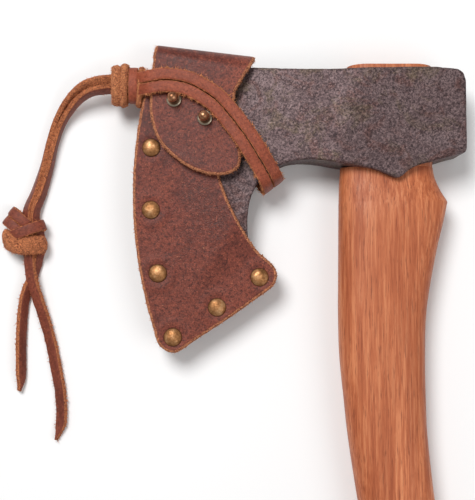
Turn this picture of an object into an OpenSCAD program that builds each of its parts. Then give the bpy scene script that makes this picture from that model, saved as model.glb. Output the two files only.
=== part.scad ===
// Carving hatchet in a riveted leather sheath that is tied on with a leather lace.
// The hatchet lies on its side. +Z is up, +X runs to the poll and +Y to the top of the head.
// The origin is on the flat lower cheek, under the centre of the eye.

/* [Head] */
// Thickness of the head across the cheeks
head_t = 28; // [27:0.5:29]
// Top of the head above the centre of the eye
head_top = 20.5; // [19:0.5:21]
// Poll face ahead of the centre of the eye
poll_x = 34.5; // [33:0.5:36]
// Radius of the curved cutting edge
edge_r = 203; // [201:0.5:203]
// Length of the eye
eye_len = 41; // [39:0.5:42]
// Width of the eye
eye_w = 19; // [18:0.5:20]

/* [Handle] */
// Distance from the centre of the eye to the end of the handle
handle_reach = 320; // [310:5:330]
// Thickness of the grip
grip_t = 24; // [22:0.5:25]
// Height of the handle's end above the head
handle_proud = 2.5; // [1:0.5:4]

/* [Sheath] */
// Thickness of the sheath leather
leather_t = 2.6; // [2.2:0.1:2.8]
// Thickness of the welt between the panels
welt_t = 3.5; // [3:0.1:4]
// Radius of the sheath's curved left edge
sheath_r = 214.5; // [214:0.5:217]
// Width of the welt along the bottom seam
seam_w = 15.9; // [15:0.1:15.9]

/* [Rivets and studs] */
// Diameter of a rivet cap
cap_d = 8.7; // [8:0.1:9]
// Height of a rivet cap
cap_h = 2; // [1.6:0.1:2.4]
// Diameter of a stud's flange
flange_d = 7.4; // [7:0.1:8]
// Diameter of a stud's ball
ball_d = 5; // [4.6:0.1:5.4]

/* [Lace] */
// Width of the lace
lace_w = 5.6; // [5:0.1:5.8]
// Thickness of the lace
lace_t = 2.6; // [2.2:0.1:2.8]

/* [Hidden] */
$fn = 64;
hull_fn = 32;
mid = head_t / 2;
gap = 0.3;
tall = 60;

// The cutting edge, the blade's taper and the sheath's left edge share this centre.
edge_centre = [91.3, -38.5];
toe_y = 27;
heel_y = -95;

// Half thickness of the head against the distance from edge_centre.
head_taper = [[100, mid], [118, mid], [123, 13.2], [140, 9.4], [155, 6.3], [170, 4], [190, 1.6],
              [edge_r - 4, 1.05], [edge_r, 0]];

// The bottom seam runs from seam_start at seam_angle. The beard thins towards it.
seam_start = [-96.1, -109.6];
seam_angle = 33.7;
beard_taper = [[-20, 0.9], [16, 1.1], [34, 4.6], [46, 9], [58, mid], [230, mid]];
beard_end = -50;

// The head's outline, in stretches between its corners.
beard_line = [[-72.1, -73.9], [-69.4, -70], [-68.4, -62], [-68.7, -50], [-67.3, -41], [-63.7, -33.5],
              [-57, -27.6], [-51, -24.3], [-44, -23], [-35.5, -23.1], [-25.2, -24.7]];
lug_line = [[-25.2, -24.7], [-11, -27.1], [-4.4, -29.4], [0, -31.3], [3, -31.4], [7, -28.2],
            [12.2, -25.5], [18.2, -23.9]];
poll_line = [[24.2, -22.4], [poll_x, -19.5], [poll_x, 14]];
top_line = [[poll_x - 1.2, head_top - 2.6], [poll_x - 3.8, head_top - 0.9], [20, head_top + 0.2],
            [-26, head_top - 0.3], [-45, head_top + 0.4], [-66, head_top + 1.6], [-85, head_top + 3.6]];

// Half length of the straight middle of the eye, which has round ends.
eye_flat = (eye_len - eye_w) / 2;
eye_top = head_top + handle_proud;

// Wedges in the handle's end.
wedge_len = 36;
wedge_tip = -14;
wedge_top_t = 4.4;
wedge_tip_t = 0.6;
steel_x = 3;
steel_top_t = 2.2;
steel_tip_t = 0.5;
steel_tip = 4;
steel_len = 14;

// Stations along the handle: [Y, left edge, right edge, half thickness].
grip_h = grip_t / 2;
knob_y = -handle_reach;
handle_stations = [[-26, -23.8, 20.6, 9.3], [-31, -24.2, 21.6, 9.4], [-37, -24.5, 24.3, 10.4],
                   [-42.2, -24.6, 27.4, 11.2], [-52, -24.8, 25.6, grip_h], [-65, -24.9, 22.3, grip_h],
                   [-82, -25.1, 18.9, grip_h], [-97, -25.2, 16.8, grip_h], [-116, -24.7, 16.1, grip_h],
                   [-137, -22.7, 16.3, grip_h], [-155, -20.8, 17, grip_h], [-185, -16.3, 20.2, grip_h],
                   [-210, -11.5, 24.1, grip_h], [-240, -4.6, 30, grip_h], [-265, 0, 35.5, grip_h],
                   [knob_y + 35, 2.4, 42, 12.6], [knob_y + 19, 1.6, 47.4, 13.7],
                   [knob_y + 9, 3, 50, mid], [knob_y + 2.6, 7, 49, 12.6], [knob_y, 13, 44, 9]];
handle_sides = 24;
handle_fullness = 2.5;

// Sheath outlines, anticlockwise from the top left corner's arc end.
sheath_tip = [[-113, -104.4], [-111.2, -109.6], [-108, -112.8], [-103.2, -114], [-98.8, -111.8],
              [-94, -108.4], [-77, -97.3]];
sheath_corner = [[-60.6, -85.7], [-56.8, -82.8], [-54.7, -78.6], [-55.6, -73.8], [-59.2, -70]];
front_inner = [[-64.4, -65.2], [-70.8, -55.6], [-76.1, -45.6], [-79.2, -38.5], [-82.6, -28],
               [-87, -13], [-91, 2], [-95, 14]];
back_inner = [[-64.4, -65.2], [-70.8, -55.6], [-76.1, -45.6], [-77.6, -30], [-76, -12], [-73, 4]];
front_top = [-112, 20.5];

// The fold over the blade's top is a cone. Its axis is the flap's hinge line.
fold_start = [-113.2, 27.6];
fold_end = [-69.6, 18.05];
fold_len = 48.6;
fold_angle = -12.35;
fold_r1 = welt_t / 2 + 1.5 * leather_t + gap / 2;
fold_r2 = fold_r1 + 4.6;
fold_z = mid + (leather_t + gap) / 2;
flap_tilt = atan((fold_r2 - fold_r1) / fold_len);
flap_start = 4;
flap_top = fold_r1 * cos(flap_tilt);

// The flap's outline.
flap_left = [[-113.9, 40], [-113.6, 22], [-114.7, 8], [-114.6, -1], [-111.6, -11.6], [-106.4, -18.6],
             [-98.6, -25], [-90, -29], [-82.6, -30.2], [-77, -29.3], [-73, -26.6], [-71.9, -22],
             [-72.4, -16]];
flap_right = [[-74.2, -2], [-74.6, 7.3], [-73.2, 11.6], [-70.2, 16.4], [-66.8, 21.8], [-65.4, 27],
              [-65.2, 40]];

// Rivets, from the top of the left edge round to the right corner.
rivets = [[-114.4, -16.4], [-114.6, -46.1], [-111.3, -76.3], [-104.2, -106.6], [-83.2, -92.5],
          [-63, -78.3]];
rivet_hole_r = 1.8;
tube_r = 1.7;
post_r = 1.2;
cap_rim = 0.4;
stack_h = welt_t / 2 + leather_t;

// Studs, along and across the flap from fold_start.
studs = [[14.9, -19], [31.2, -24.7]];
flange_h = 1.2;
neck_r = 1.5;
ball_z = 6.4;
screw_r = 1.2;
screw_head_r = 3.2;
screw_head_h = 1;
screw_len = 6;

// The lace's pair of strands: each entry is [point, direction of the flat side].
strand_pitch = (lace_w + gap) / 2;
loop_route = [[[-126, 14.2, 15.6], [0, 0, 1]], [[-123.2, 14.1, 15.7], [-0.2, 0, 1]],
              [[-119.8, 14, 18.9], [-0.8, 0, 0.8]], [[-115.2, 14.1, 23.2], [-0.4, 0, 1]],
              [[-108, 14.9, 24.6], [-0.1, 0, 1]], [[-98.7, 13.6, 25.8], [-0.1, 0, 1]],
              [[-91.3, 10.4, 26.4], [-0.1, 0, 1]], [[-83.5, 4.9, 26.9], [-0.1, 0, 1]],
              [[-76.7, -2.8, 27.2], [-0.1, 0, 1]], [[-70.3, -11.3, 27.5], [0, 0, 1]],
              [[-65, -19.5, 27.3], [0.1, -0.1, 1]], [[-60.6, -26.8, 25.6], [0.2, -0.2, 1]],
              [[-57.6, -32.2, 22.8], [0.4, -0.5, 0.8]], [[-56.4, -34.2, 14], [0.6, -0.8, 0]],
              [[-58.4, -31.6, 4.4], [0.3, -0.4, -0.9]], [[-66, -18.4, 3.8], [0, 0, -1]],
              [[-76.6, -4.8, 4.9], [0, 0, -1]], [[-92, 7.4, 7.1], [0, 0, -1]],
              [[-106, 11.9, 7.9], [0, 0, -1]], [[-118.2, 12.6, 7.9], [-0.1, 0, -1]],
              [[-122, 13.6, 11.6], [-0.5, 0, -1]], [[-126, 14.2, 12.4], [0, 0, -1]]];

// The free pair leaves the slide knot on edge, comes down and lies on the ground.
free_roll = 75;
free_pitch = 2.15;
free_route = [[-127, 14.2, 14], [-136.4, 14.3, 14], [-145, 12.6, 11.4], [-153, 7.6, 7],
              [-159.6, -1.4, 3.8], [-163.6, -12, 3.1], [-166.2, -24, 3.1], [-169.6, -36, 3.2],
              [-173.4, -47, 4.4]];
tail_z = 1.4;
long_tail = [[-174.6, -58, 5.4], [-174.4, -68, 4.8], [-173.2, -78, 4.7], [-170, -88, 3.6],
             [-166.8, -98, 2], [-163.6, -110, tail_z], [-161, -123, tail_z],
             [-159.1, -136, tail_z], [-159.2, -148, tail_z], [-161.6, -157, tail_z]];
short_tail = [[-169.8, -58, 2.4], [-170.6, -68, 1.6], [-173.8, -78, tail_z], [-177.4, -87, tail_z],
              [-178.8, -98, tail_z], [-179.3, -113, tail_z], [-179.1, -127, tail_z],
              [-180.2, -133, tail_z]];

// The knots.
slide_knot = [-135.2, 14.2, 14];
collar_size = [20.6, 15];
band_size = [17.6, 12.4];
knot_bore = [13, 7.4];
turn_w = 4;
band_w = 3.6;
end_knot = [-176.8, -54.2];
end_knot_h = 11.4;

// Smooth curve through points, as Catmull-Rom pieces of n steps each.
function curve_at(a, b, c, d, t) =
    0.5 * (2 * b + (c - a) * t + (2 * a - 5 * b + 4 * c - d) * t * t + (3 * b - a - 3 * c + d) * t * t * t);
function curve(p, n = 3) =
    concat([for (i = [0:len(p) - 2]) for (k = [0:n - 1])
               curve_at(p[max(i - 1, 0)], p[i], p[i + 1], p[min(i + 2, len(p) - 1)], k / n)],
           [p[len(p) - 1]]);

// Arc about edge_centre between two heights, on its left side.
function edge_arc(r, y0, y1, n = 16) =
    [for (i = [0:n]) let (y = y0 + (y1 - y0) * i / n - edge_centre.y)
        [edge_centre.x - sqrt(r * r - y * y), y + edge_centre.y]];

function unit(v) = v / norm(v);
function step_at(p, i) = unit(p[min(i + 1, len(p) - 1)] - p[max(i - 1, 0)]);

// Ring of a flat lace: c is its middle, w its width direction and n its flat side.
function lace_ring(c, w, n) =
    let (a = lace_w / 2, b = lace_t / 2, k = 0.6)
    [for (q = [[a - k, b], [a, b - k], [a, k - b], [a - k, -b], [k - a, -b], [-a, k - b], [-a, b - k],
               [k - a, b]]) c + w * q[0] + n * q[1]];

// Strip swept through rings that all have the same number of points.
module strip(rings) {
    m = len(rings[0]);
    last = len(rings) - 1;
    sides = [for (i = [0:last - 1]) for (j = [0:m - 1]) for (half = [0, 1])
                let (a = i * m + j, b = i * m + (j + 1) % m) half == 0 ? [a, b, b + m] : [a, b + m, a + m]];
    caps = [[for (j = [m - 1:-1:0]) j], [for (j = [0:m - 1]) last * m + j]];
    polyhedron([for (r = rings) each r], concat(sides, caps), convexity = 8);
}

// One strand of the pair in loop_route, shifted sideways.
module loop_strand(shift) {
    p = [for (e = loop_route) e[0]];
    strip([for (i = [0:len(p) - 1])
        let (w = unit(cross(loop_route[i][1], step_at(p, i))), n = unit(cross(step_at(p, i), w)))
        lace_ring(p[i] + w * shift, w, n)]);
}

// One strand that stands on edge: side is 1 or -1, and roll leans it outwards.
module edge_strand(p, side) {
    strip([for (i = [0:len(p) - 1])
        let (t = step_at(p, i), w = unit(cross([0, 0, 1], t)), up = cross(t, w))
        lace_ring(p[i] + w * side * free_pitch, w * side * cos(free_roll) - up * sin(free_roll),
                  up * cos(free_roll) + w * side * sin(free_roll))]);
}

// One strand that lies flat.
module flat_strand(p) {
    strip([for (i = [0:len(p) - 1])
        let (t = step_at(p, i), w = unit(cross([0, 0, 1], t)), up = cross(t, w)) lace_ring(p[i], w, up)]);
}

// Solid of revolution about edge_centre with the head's taper, thickened by extra each side.
module tapered_disc(extra) {
    upper = [for (e = head_taper) [e[0], e[1] + extra]];
    lower = [for (i = [len(head_taper) - 1:-1:0]) [head_taper[i][0], -head_taper[i][1] - extra]];
    translate([edge_centre.x, edge_centre.y, mid])
        rotate_extrude($fn = 180)
            polygon(concat([[0, -mid - extra], [0, mid + extra]], upper, lower));
}

// Bar along the bottom seam with the beard's taper, thickened by extra each side, and the rest
// of the head beyond it.
module tapered_bar(extra) {
    upper = [for (e = beard_taper) [e[0], e[1] + extra]];
    lower = [for (i = [len(beard_taper) - 1:-1:0]) [beard_taper[i][0], -beard_taper[i][1] - extra]];
    translate([seam_start.x, seam_start.y, mid])
        rotate([0, 0, seam_angle])
            translate([-150, 0, 0])
                rotate([90, 0, 90])
                    linear_extrude(400)
                        polygon(concat(upper, lower));
    translate([beard_end, -tall, -extra])
        cube([2 * tall, 2 * tall, head_t + 2 * extra]);
}

module prism(outline) {
    translate([0, 0, mid - tall / 2])
        linear_extrude(tall)
            polygon(outline);
}

// Everything between the sheath's two panels, thickened by extra each side.
module pocket_space(extra) {
    intersection() {
        tapered_disc(gap + extra);
        tapered_bar(gap + extra);
    }
    translate([-140, -130, mid - welt_t / 2 - extra])
        cube([100, 180, welt_t + 2 * extra]);
}

module panel(outline, up) {
    difference() {
        intersection() {
            prism(outline);
            difference() {
                pocket_space(leather_t);
                pocket_space(0);
            }
            translate([-200, -200, up ? mid : mid - tall])
                cube([250, 300, tall]);
        }
        rivet_holes();
    }
}

module rivet_holes() {
    for (r = rivets)
        translate([r.x, r.y, 0])
            cylinder(h = 2 * mid, r = rivet_hole_r);
}

function panel_outline(inner) =
    concat(edge_arc(sheath_r, front_top.y, -104), curve(concat(sheath_tip, sheath_corner, inner)));

// Wedge outline from its thin tip to its thick top.
function wedge_outline(tip, top, tip_t, top_t) =
    [[tip, -tip_t / 2], [top, -top_t / 2], [top, top_t / 2], [tip, tip_t / 2]];

module wooden_wedge_block() {
    translate([-wedge_len / 2, 0, mid])
        rotate([90, 0, 90])
            linear_extrude(wedge_len)
                polygon(wedge_outline(wedge_tip, eye_top, wedge_tip_t, wedge_top_t));
}

module steel_wedge_block() {
    translate([steel_x, 0, mid - steel_len / 2])
        rotate([0, 0, 90])
            linear_extrude(steel_len)
                polygon(wedge_outline(steel_tip, eye_top, steel_tip_t, steel_top_t));
}

module eye_prism(low, high) {
    translate([0, high, mid])
        rotate([90, 0, 0])
            linear_extrude(high - low) {
                translate([-eye_flat, -eye_w / 2])
                    square([2 * eye_flat, eye_w]);
                for (s = [-1, 1])
                    translate([s * eye_flat, 0])
                        circle(d = eye_w);
            }
}

// Ring of the handle at a station: a rounded oval between its edges.
function handle_ring(s) =
    let (a = (s[2] - s[1]) / 2, e = 2 / handle_fullness)
    [for (k = [0:handle_sides - 1])
        let (c = cos(360 * k / handle_sides), d = -sin(360 * k / handle_sides))
        [(s[1] + s[2]) / 2 + a * sign(c) * pow(abs(c), e), s[0], mid + s[3] * sign(d) * pow(abs(d), e)]];

module axe_head() {
    outline = concat(edge_arc(edge_r, toe_y, heel_y), curve(beard_line), curve(lug_line), poll_line,
                     top_line);
    color("dimgray")
        difference() {
            intersection() {
                prism(outline);
                tapered_disc(0);
                tapered_bar(0);
            }
            eye_prism(-40, 40);
        }
}

module handle() {
    color("peru")
        difference() {
            union() {
                strip([for (s = curve(handle_stations, 2)) handle_ring(s)]);
                eye_prism(-28, eye_top);
            }
            wooden_wedge_block();
            steel_wedge_block();
        }
}

module wooden_wedge() {
    color("burlywood")
        difference() {
            wooden_wedge_block();
            steel_wedge_block();
        }
}

module steel_wedge() {
    color("gray")
        steel_wedge_block();
}

module sheath_front() {
    color("sienna")
        panel(panel_outline(front_inner), true);
}

module sheath_back() {
    color("sienna")
        panel(concat(edge_arc(sheath_r, fold_start.y, -104),
                     curve(concat(sheath_tip, sheath_corner, back_inner)), [fold_end]), false);
}

module sheath_welt() {
    color("saddlebrown")
        difference() {
            intersection() {
                prism(panel_outline(front_inner));
                translate([-140, -130, mid - welt_t / 2])
                    cube([100, 180, welt_t]);
            }
            intersection() {
                translate([edge_centre.x, edge_centre.y, 0])
                    cylinder(h = 2 * mid, r = edge_r + 0.5, $fn = 180);
                translate([seam_start.x, seam_start.y, 0])
                    rotate([0, 0, seam_angle])
                        translate([-100, seam_w, 0])
                            cube([300, 200, 2 * mid]);
            }
            rivet_holes();
        }
}

// Placement of the fold: X runs along the hinge line from its left end.
module fold_frame() {
    translate([fold_start.x, fold_start.y, fold_z])
        rotate([0, 0, fold_angle])
            children();
}

// Placement of the flap: Z is square to its flat leather.
module flap_frame() {
    fold_frame()
        rotate([0, -flap_tilt, 0])
            children();
}

module flap_sheet(y_low, y_high) {
    intersection() {
        prism(concat(curve(flap_left), curve(flap_right)));
        flap_frame()
            translate([-20, y_low, flap_top - leather_t])
                cube([90, y_high - y_low, leather_t]);
    }
}

module flap_fold() {
    color("sienna") {
        intersection() {
            prism(concat(curve(flap_left), curve(flap_right)));
            fold_frame()
                difference() {
                    rotate([0, 90, 0])
                        cylinder(h = fold_len, r1 = fold_r1, r2 = fold_r2);
                    translate([-1, 0, 0])
                        rotate([0, 90, 0])
                            cylinder(h = fold_len + 2, r1 = fold_r1 - leather_t,
                                     r2 = fold_r2 - leather_t);
                    translate([-1, -2 * fold_r2, -2 * fold_r2])
                        cube([fold_len + 2, 2 * fold_r2, 4 * fold_r2]);
                }
        }
        flap_sheet(-flap_start, 0);
    }
}

module flap() {
    color("sienna")
        difference() {
            flap_sheet(-80, -flap_start);
            flap_frame()
                for (s = studs)
                    translate([s.x, s.y, 0]) {
                        cylinder(h = 2 * fold_r2, r = screw_r);
                        translate([0, 0, flap_top - leather_t - 1])
                            cylinder(h = 1 + screw_head_h, r = screw_head_r);
                    }
        }
}

module stud(s) {
    color("darkkhaki")
        flap_frame()
            translate([s.x, s.y, flap_top])
                difference() {
                    union() {
                        cylinder(h = flange_h, d = flange_d);
                        cylinder(h = ball_z, r = neck_r);
                        translate([0, 0, ball_z])
                            sphere(d = ball_d);
                    }
                    translate([0, 0, -1])
                        cylinder(h = screw_len - leather_t + screw_head_h + 1, r = screw_r);
                }
}

module stud_screw(s) {
    color("darkkhaki")
        flap_frame()
            translate([s.x, s.y, flap_top - leather_t]) {
                cylinder(h = screw_head_h, r = screw_head_r);
                cylinder(h = screw_len, r = screw_r);
            }
}

// Domed cap whose flat side is at Z = 0.
module cap() {
    dome_h = cap_h - cap_rim;
    dome_r = (cap_d * cap_d / 4 + dome_h * dome_h) / (2 * dome_h);
    cylinder(h = cap_rim, d = cap_d);
    intersection() {
        translate([0, 0, cap_h - dome_r])
            sphere(r = dome_r);
        translate([0, 0, cap_rim])
            cylinder(h = dome_h, d = cap_d);
    }
}

module rivet_front(r) {
    color("goldenrod")
        translate([r.x, r.y, mid]) {
            translate([0, 0, stack_h])
                cap();
            translate([0, 0, 0.4 - stack_h])
                difference() {
                    cylinder(h = 2 * stack_h - 0.4, r = tube_r);
                    translate([0, 0, -1])
                        cylinder(h = 2 * stack_h - 1, r = post_r);
                }
        }
}

module rivet_back(r) {
    color("goldenrod")
        translate([r.x, r.y, mid - stack_h]) {
            cylinder(h = 2 * stack_h - 1.6, r = post_r);
            mirror([0, 0, 1])
                cap();
        }
}

// Tube of rounded rectangle section along X, from x to x + length.
module wrap(size, x, length) {
    corner = size.y / 2 - 1;
    translate([x, 0, 0])
        rotate([90, 0, 90])
            linear_extrude(length)
                difference() {
                    hull()
                        for (s = [-1, 1])
                            translate([s * (size.x / 2 - corner), 0])
                                intersection() {
                                    circle(r = size.y / 2, $fn = hull_fn);
                                    square([2 * corner, size.y], center = true);
                                }
                    square(knot_bore, center = true);
                }
}

module lace_slide_knot() {
    color("peru")
        translate(slide_knot) {
            wrap(collar_size, 0, turn_w);
            wrap(collar_size - [1, 1], turn_w, turn_w);
            wrap(band_size, 2 * turn_w, band_w);
        }
}

module lace_loop_upper() {
    color("sienna")
        loop_strand(strand_pitch);
}

module lace_loop_lower() {
    color("sienna")
        loop_strand(-strand_pitch);
}

module lace_strand_left() {
    color("peru")
        edge_strand(free_route, -1);
}

module lace_strand_right() {
    color("peru")
        edge_strand(free_route, 1);
}

// Band of lace that wraps over the end knot: its length, width, height, place and direction.
module knot_turn(length, width, height, at, angle) {
    translate([end_knot.x + at.x, end_knot.y + at.y, 0])
        rotate([0, 0, angle])
            hull()
                for (s = [-1, 1])
                    translate([s * (length / 2 - height / 2), 0, height / 2])
                        rotate([90, 0, 0])
                            cylinder(h = width, d = height, center = true, $fn = hull_fn);
}

module lace_end_knot() {
    color("peru") {
        knot_turn(22, 9, 10.4, [0, -6], 4);
        knot_turn(21, 6, end_knot_h, [1.4, 1.2], 24);
        knot_turn(19, 6, end_knot_h - 0.6, [-1.6, 5], -42);
    }
}

module lace_tail_long() {
    color("sienna")
        flat_strand(long_tail);
}

module lace_tail_short() {
    color("peru")
        flat_strand(short_tail);
}

axe_head();
handle();
wooden_wedge();
steel_wedge();
sheath_front();
sheath_back();
sheath_welt();
flap_fold();
flap();
stud(studs[0]);  // stud_1
stud(studs[1]);  // stud_2
stud_screw(studs[0]);  // stud_screw_1
stud_screw(studs[1]);  // stud_screw_2
rivet_front(rivets[0]);  // rivet_front_1
rivet_front(rivets[1]);  // rivet_front_2
rivet_front(rivets[2]);  // rivet_front_3
rivet_front(rivets[3]);  // rivet_front_4
rivet_front(rivets[4]);  // rivet_front_5
rivet_front(rivets[5]);  // rivet_front_6
rivet_back(rivets[0]);  // rivet_back_1
rivet_back(rivets[1]);  // rivet_back_2
rivet_back(rivets[2]);  // rivet_back_3
rivet_back(rivets[3]);  // rivet_back_4
rivet_back(rivets[4]);  // rivet_back_5
rivet_back(rivets[5]);  // rivet_back_6
lace_slide_knot();
lace_loop_upper();
lace_loop_lower();
lace_strand_left();
lace_strand_right();
lace_end_knot();
lace_tail_long();
lace_tail_short();
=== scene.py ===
# Carving hatchet in a riveted leather sheath tied on with a leather lace.
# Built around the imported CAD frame. Lengths are worked out in millimetres and written in metres.
import math

import bmesh
import bpy
import numpy as np
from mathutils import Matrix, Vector, geometry, noise
from mathutils.bvhtree import BVHTree


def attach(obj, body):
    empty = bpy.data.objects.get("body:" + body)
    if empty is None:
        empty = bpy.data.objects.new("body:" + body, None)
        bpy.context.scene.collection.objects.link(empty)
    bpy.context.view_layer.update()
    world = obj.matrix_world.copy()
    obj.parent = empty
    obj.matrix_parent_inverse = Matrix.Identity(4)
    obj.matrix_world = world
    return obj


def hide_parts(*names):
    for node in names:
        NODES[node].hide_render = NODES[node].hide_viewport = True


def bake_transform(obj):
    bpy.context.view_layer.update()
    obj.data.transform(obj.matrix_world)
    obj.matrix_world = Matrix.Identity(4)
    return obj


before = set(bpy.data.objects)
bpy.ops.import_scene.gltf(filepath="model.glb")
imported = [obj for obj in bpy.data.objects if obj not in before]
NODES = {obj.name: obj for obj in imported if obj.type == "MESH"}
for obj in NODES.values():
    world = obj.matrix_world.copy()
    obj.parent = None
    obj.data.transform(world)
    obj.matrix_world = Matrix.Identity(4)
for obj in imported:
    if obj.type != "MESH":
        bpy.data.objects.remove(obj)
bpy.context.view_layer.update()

MM = 0.001          # metres in a millimetre
MID = 14.0          # height of the mid plane of the head and the sheath
LEATHER = 2.6       # thickness of the sheath's leather
WELT = 3.5          # thickness of the welt between its panels
GAP = 0.3           # room between the blade and the leather


# ---- camera

def placed(data, name, place=(0, 0, 0), turn=(0, 0, 0)):
    """A new object of the scene."""
    made = bpy.data.objects.new(name, data)
    bpy.context.scene.collection.objects.link(made)
    made.location = place
    made.rotation_euler = turn
    return made


lens = bpy.data.cameras.new("camera")
lens.sensor_width = 36
lens.lens = 80.42
lens.clip_start = 0.02
lens.clip_end = 20
camera = placed(lens, "camera", (-0.08143, -0.08444, 0.54922), (0.036026, -0.014995, -0.00281))
bpy.context.scene.camera = camera


# ---- arithmetic

def unit(v):
    v = np.asarray(v, float)
    return v / np.maximum(np.linalg.norm(v, axis=-1, keepdims=True), 1e-12)


def spline(points, steps, closed=False):
    """Catmull-Rom curve through the rows of points, with that many steps to a stretch."""
    p = np.asarray(points, float)
    around = p[np.arange(-1, len(p) + 2) % len(p)] if closed else np.vstack([p[:1], p, p[-1:]])
    out = []
    for a, b, c, d in zip(around, around[1:], around[2:], around[3:]):
        for k in range(steps):
            t = k / steps
            out.append(0.5 * (2 * b + (c - a) * t + (2 * a - 5 * b + 4 * c - d) * t * t
                              + (3 * b - a - 3 * c + d) * t ** 3))
    if not closed:
        out.append(p[-1])
    return np.array(out)


def lengths(p):
    """How far along a line each of its points is."""
    return np.concatenate([[0], np.cumsum(np.linalg.norm(np.diff(p, axis=0), axis=1))])


def evenly(points, spacing):
    """The same closed line with points that far apart."""
    p = np.asarray(points, float)
    p = np.vstack([p, p[:1]])
    s = lengths(p)
    at = np.linspace(0, s[-1], max(4, int(round(s[-1] / spacing))) + 1)
    return np.stack([np.interp(at, s, p[:, k]) for k in range(p.shape[1])], 1)[:-1]


def smooth(low, high, x):
    t = np.clip((np.asarray(x, float) - low) / (high - low), 0, 1)
    return t * t * (3 - 2 * t)


def soft_max(a, b, k):
    top = np.maximum(a, b)
    return top + k * np.log(np.exp((a - top) / k) + np.exp((b - top) / k)) - k * math.log(2) * 0.3


def noisy(points, size, seed=0.0):
    """Perlin noise, about -1 to 1, at points in millimetres, with features of that size."""
    return np.array([noise.noise(Vector(p) / size + Vector((seed, seed * 1.7, -seed)))
                     for p in np.asarray(points, float)])


def segment_distance(points, a, b):
    ab = b - a
    t = np.clip(((points - a) @ ab) / max(ab @ ab, 1e-9), 0, 1)
    return np.linalg.norm(points - a - t[:, None] * ab, axis=1)


def distance_to(points, line):
    return np.min([segment_distance(points, a, b) for a, b in zip(line, np.roll(line, -1, 0))], 0)


def inside(points, line):
    x, y = points.T
    hit = np.zeros(len(points), bool)
    for (x1, y1), (x2, y2) in zip(line, np.roll(line, -1, 0)):
        if y1 != y2:
            hit ^= ((y1 > y) != (y2 > y)) & (x < (x2 - x1) * (y - y1) / (y2 - y1) + x1)
    return hit


# ---- shells and pieces

def shell(v, f, cut=None, run=None):
    """A closed surface. cut is 0 on finished leather, 1 on cut edges and 1.6 on hairs, and run is
    the place that textures are read at."""
    v = np.asarray(v, float)
    return {"v": v, "f": f, "cut": np.zeros(len(v)) if cut is None else np.asarray(cut, float),
            "run": v.copy() if run is None else np.asarray(run, float)}


def merged(shells):
    out = {key: np.concatenate([s[key] for s in shells]) for key in ("v", "cut", "run")}
    base = np.cumsum([0] + [len(s["v"]) for s in shells]).tolist()
    out["f"] = [tuple(i + b for i in face) for s, b in zip(shells, base) for face in s["f"]]
    return out


def strips(rings, m, closed=False):
    """Four-sided faces between that many rings of m points."""
    faces = []
    for i in range(rings if closed else rings - 1):
        i2 = (i + 1) % rings
        for j in range(m):
            j2 = (j + 1) % m
            faces.append((i * m + j, i * m + j2, i2 * m + j2, i2 * m + j))
    return faces


def piece(name, made, material, nodes=(), body=None, sharp=40):
    """A visual piece in place of CAD nodes. It rides on body, when one is given."""
    made["v"][:, 2] = np.maximum(made["v"][:, 2], 0.03)
    mesh = bpy.data.meshes.new(name)
    mesh.from_pydata((made["v"] * MM).tolist(), [], made["f"])
    bm = bmesh.new()
    bm.from_mesh(mesh)
    bmesh.ops.recalc_face_normals(bm, faces=bm.faces)
    bm.to_mesh(mesh)
    bm.free()
    mesh.attributes.new("cut", "FLOAT", "POINT").data.foreach_set("value", made["cut"])
    mesh.attributes.new("run", "FLOAT_VECTOR", "POINT").data.foreach_set(
        "vector", (made["run"] * MM).ravel())
    mesh.polygons.foreach_set("use_smooth", [True] * len(mesh.polygons))
    mesh.set_sharp_from_angle(angle=math.radians(sharp))
    mesh.materials.append(material)
    obj = placed(mesh, name)
    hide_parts(*nodes)
    if body:
        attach(obj, body)
    return obj


# ---- leather lace

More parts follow.
